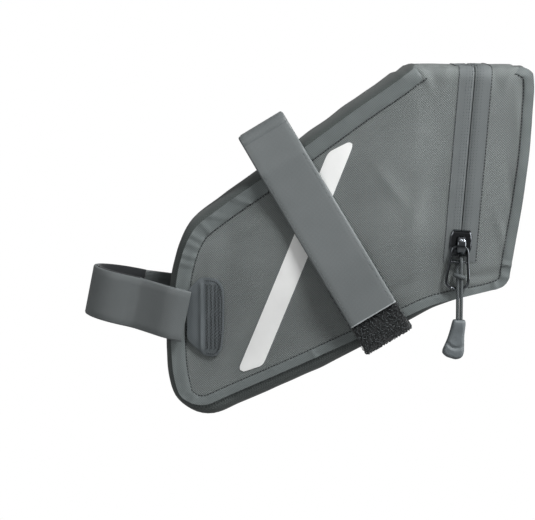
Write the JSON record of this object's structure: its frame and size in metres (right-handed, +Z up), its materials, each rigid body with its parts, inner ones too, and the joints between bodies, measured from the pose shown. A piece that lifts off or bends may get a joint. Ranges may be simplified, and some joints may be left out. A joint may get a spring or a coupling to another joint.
{
  "type": "saddle bag",
  "caption": "Wedge-shaped bicycle saddle bag with welded edge seams, a side-over-top zip, hook-and-loop rail and seatpost straps and reflective side strips.",
  "frame": {"origin": "middle of the seatpost strap, on the seatpost's axis", "axes": "+X to the rear of the bicycle, +Y to its right, +Z up"},
  "size_m": [0.2169, 0.0861, 0.1653],
  "materials": {
    "coated_cloth": "coated woven cloth, fine check weave, satin",
    "edge_tape": "welded tape, satin",
    "zip_tape": "coated zip tape, satin",
    "zip_coil": "moulded coil, matt",
    "black_nickel": "black nickel, polished",
    "cord": "braided cord",
    "grip_rubber": "moulded soft rubber, matt",
    "reflector": "retroreflective film, satin",
    "board": "foam board, matt",
    "hook_pile": "hook-and-loop pile",
    "coated_webbing": "smooth coated webbing, satin",
    "loop_webbing": "ribbed webbing"
  },
  "bodies": {
    "bag": {"left_side_panel": "coated_cloth", "right_side_panel": "coated_cloth", "top_panel": "coated_cloth", "slope_gusset": "coated_cloth", "front_gusset": "coated_cloth", "belly_gusset": "coated_cloth", "rear_lower_panel": "coated_cloth", "left_edge_tape": "edge_tape", "right_edge_tape": "edge_tape", "zip_front_tape": "zip_tape", "zip_front_coil": "zip_coil", "zip_end_stops": "zip_coil", "left_reflective_strip": "reflector", "right_reflective_strip": "reflector", "left_stiffener": "board", "right_stiffener": "board", "base_board": "board", "belly_strap": "hook_pile", "left_rail_loop": "coated_webbing", "right_rail_loop": "coated_webbing", "post_strap_lining": "hook_pile", "left_post_anchor": "coated_webbing", "post_strap_band": "coated_webbing"},
    "cover": {"cover_left_side": "coated_cloth", "cover_right_side": "coated_cloth", "cover_top": "coated_cloth", "cover_rear_panel": "coated_cloth", "cover_left_edge_tape": "edge_tape", "cover_right_edge_tape": "edge_tape", "zip_rear_tape": "zip_tape", "zip_rear_coil": "zip_coil", "light_loop": "loop_webbing"},
    "zip_slider": {"slider_body": "black_nickel", "slider_bail": "black_nickel"},
    "pull_ring": {"pull_ring": "black_nickel"},
    "pull_cord": {"pull_cord": "cord", "pull_grip": "grip_rubber"},
    "left_rail_leg": {"left_rail_strap": "coated_webbing", "left_hook_pad": "hook_pile"},
    "right_rail_leg": {"right_rail_strap": "coated_webbing", "right_hook_pad": "hook_pile"},
    "post_tail": {"post_strap_tail": "coated_webbing"}
  },
  "joints": [
    {"name": "cover_open", "type": "hinge", "parent": "bag", "child": "cover", "pos_m": [0.18532, 0, 0.02237], "axis": [0, 1, 0], "range_deg": [0, 35]},
    {"name": "zip_slide", "type": "slide", "parent": "bag", "child": "zip_slider", "axis": [0.0732, 0, 0.9973], "range_m": [0, 0.068]},
    {"name": "ring_swing", "type": "hinge", "parent": "zip_slider", "child": "pull_ring", "pos_m": [0.16093, -0.0406, 0.03138], "axis": [-0.9973, 0, 0.0732], "range_deg": [0, 110]},
    {"name": "cord_swing", "type": "hinge", "parent": "pull_ring", "child": "pull_cord", "pos_m": [0.16044, -0.0406, 0.0247], "axis": [-0.9973, 0, 0.0732], "range_deg": [0, 60]},
    {"name": "left_strap_peel", "type": "hinge", "parent": "bag", "child": "left_rail_leg", "pos_m": [0.06827, -0.0263, 0.08471], "axis": [-0.8572, 0, -0.515], "range_deg": [0, 65]},
    {"name": "right_strap_peel", "type": "hinge", "parent": "bag", "child": "right_rail_leg", "pos_m": [0.06827, 0.0263, 0.08471], "axis": [0.8572, 0, 0.515], "range_deg": [0, 65]},
    {"name": "post_tail_peel", "type": "hinge", "parent": "bag", "child": "post_tail", "pos_m": [0, -0.0184, 0], "axis": [-0.309, 0, -0.9511], "range_deg": [0, 100]}
  ]
}
